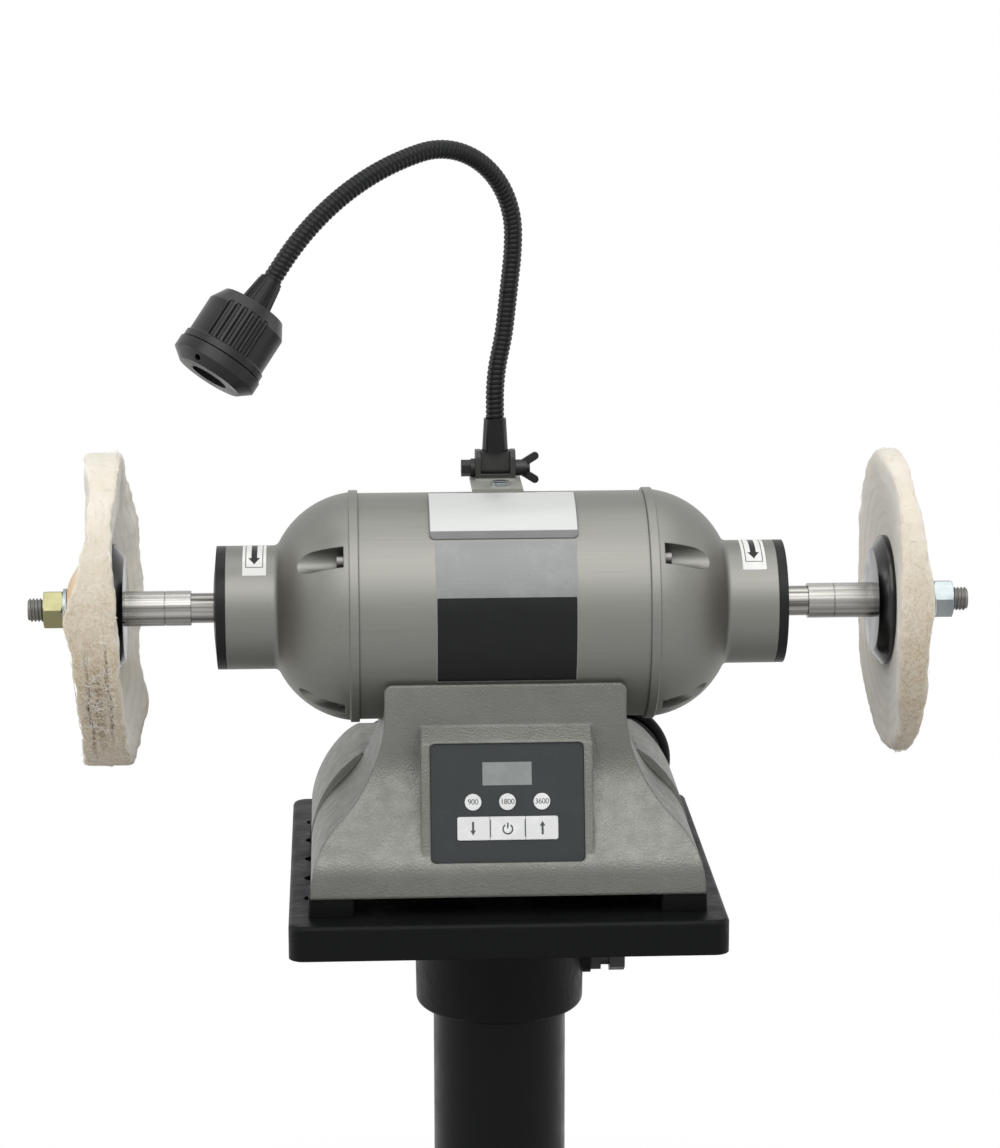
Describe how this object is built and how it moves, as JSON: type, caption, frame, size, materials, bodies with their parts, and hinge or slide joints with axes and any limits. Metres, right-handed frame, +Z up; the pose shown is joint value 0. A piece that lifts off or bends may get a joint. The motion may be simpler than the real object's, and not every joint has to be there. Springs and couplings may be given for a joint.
{
  "type": "buffing machine",
  "caption": "Electric buffing machine on a floor pedestal: double-ended motor with cotton wheels, speed keypad and a gooseneck work lamp.",
  "frame": {"origin": "on the floor, on the column's axis", "axes": "+Z up, +X to the operator's right along the spindle, the operator stands at -Y"},
  "size_m": [0.628, 0.42, 1.3116],
  "materials": {
    "black_paint": "satin powder coat",
    "black_casting": "satin black paint on a casting",
    "grey_hammer": "grey hammertone paint on a casting",
    "warm_grey": "smooth warm grey paint",
    "black_plastic": "fine grain",
    "display": "clear cover over a grey display",
    "board": "circuit board",
    "key_white": "satin",
    "rubber": "matt",
    "tie": "plain strap",
    "zinc": "zinc plate",
    "blackened_steel": "blackened",
    "yellow_zinc": "yellow zinc plate",
    "steel": "ground",
    "copper": "enamelled wire",
    "silver_plate": "satin",
    "bracket_grey": "light grey",
    "clevis_grey": "dark grey",
    "hose_black": "black coated ribbed hose",
    "lamp_black": "black anodised",
    "lens": "clear",
    "switch_black": "matt",
    "cotton": "layered cotton"
  },
  "bodies": {
    "machine": {"badge_plate": "silver_plate", "base_bottom_cover": "zinc", "base_casting": "grey_hammer", "bearing_caps": "black_plastic", "bearing_outer_races": "steel", "bell_screws": "blackened_steel", "bracket_screw": "zinc", "column": "black_paint", "control_board": "board", "control_panel": "black_plastic", "cord_hank": "rubber", "cord_tie": "tie", "display_window": "display", "drive_unit": "black_plastic", "floor_base": "black_paint", "head_set_bolt": "blackened_steel", "lamp_bracket": "bracket_grey", "lamp_clevis": "clevis_grey", "left_end_bell": "warm_grey", "motor_bolts": "zinc", "motor_shell": "warm_grey", "mounting_bolts": "zinc", "pivot_bolt": "blackened_steel", "plug": "rubber", "power_cord": "rubber", "right_end_bell": "warm_grey", "rubber_feet": "rubber", "stand_head": "black_casting", "stator_core": "steel", "stator_windings": "copper", "strain_relief": "rubber"},
    "spindle": {"spindle_shaft": "steel", "rotor": "steel", "bearing_inner_races": "steel", "bearing_balls": "steel", "wheel_spacers": "steel", "inner_flanges": "blackened_steel", "nut_washers": "zinc", "left_wheel": "cotton", "right_wheel": "cotton", "left_nut": "yellow_zinc", "right_nut": "zinc"},
    "wing_nut": {"wing_nut": "blackened_steel"},
    "lamp_arm": {"swivel_block": "clevis_grey", "lower_boot": "rubber", "gooseneck_lower": "hose_black"},
    "gooseneck_mid": {"gooseneck_upper": "hose_black"},
    "lamp_head": {"upper_boot": "rubber", "lamp_housing": "lamp_black", "lamp_bezel": "lamp_black", "lamp_lens": "lens", "lamp_led_board": "board"},
    "lamp_switch": {"lamp_switch": "switch_black"},
    "key_900": {"key_900": "key_white"},
    "key_1800": {"key_1800": "key_white"},
    "key_3600": {"key_3600": "key_white"},
    "key_down": {"key_down": "key_white"},
    "key_power": {"key_power": "key_white"},
    "key_up": {"key_up": "key_white"}
  },
  "joints": [
    {"name": "spindle_spin", "type": "hinge", "parent": "machine", "child": "spindle", "pos_m": [0, -0.028, 1.004], "axis": [1, 0, 0], "continuous": true},
    {"name": "wing_nut_turn", "type": "hinge", "parent": "machine", "child": "wing_nut", "pos_m": [0.02, 0.014, 1.089], "axis": [1, 0, 0], "continuous": true},
    {"name": "lamp_tilt", "type": "hinge", "parent": "machine", "child": "lamp_arm", "pos_m": [-0.0015, 0.014, 1.089], "axis": [1, 0, 0], "range_deg": [-40, 20]},
    {"name": "gooseneck_lower_flex", "type": "hinge", "parent": "lamp_arm", "child": "gooseneck_mid", "pos_m": [0.00217, 0.01612, 1.16773], "axis": [0.5, -0.866, 0], "range_deg": [-15, 10], "deforming": ["gooseneck_lower"]},
    {"name": "gooseneck_upper_flex", "type": "hinge", "parent": "gooseneck_mid", "child": "lamp_head", "pos_m": [-0.07778, -0.03004, 1.29395], "axis": [0.5, -0.866, 0], "range_deg": [-30, 20], "deforming": ["gooseneck_upper"]},
    {"name": "lamp_switch_press", "type": "slide", "parent": "lamp_head", "child": "lamp_switch", "axis": [-0.5391, -0.3113, -0.7826], "range_m": [0, 0.001], "stiffness_N_per_m": 800},
    {"name": "key_900_press", "type": "slide", "parent": "machine", "child": "key_900", "axis": [0, 0.9662, -0.2577], "range_m": [0, 0.0005], "stiffness_N_per_m": 1500},
    {"name": "key_1800_press", "type": "slide", "parent": "machine", "child": "key_1800", "axis": [0, 0.9662, -0.2577], "range_m": [0, 0.0005], "stiffness_N_per_m": 1500},
    {"name": "key_3600_press", "type": "slide", "parent": "machine", "child": "key_3600", "axis": [0, 0.9662, -0.2577], "range_m": [0, 0.0005], "stiffness_N_per_m": 1500},
    {"name": "key_down_press", "type": "slide", "parent": "machine", "child": "key_down", "axis": [0, 0.9662, -0.2577], "range_m": [0, 0.0005], "stiffness_N_per_m": 1500},
    {"name": "key_power_press", "type": "slide", "parent": "machine", "child": "key_power", "axis": [0, 0.9662, -0.2577], "range_m": [0, 0.0005], "stiffness_N_per_m": 1500},
    {"name": "key_up_press", "type": "slide", "parent": "machine", "child": "key_up", "axis": [0, 0.9662, -0.2577], "range_m": [0, 0.0005], "stiffness_N_per_m": 1500}
  ]
}
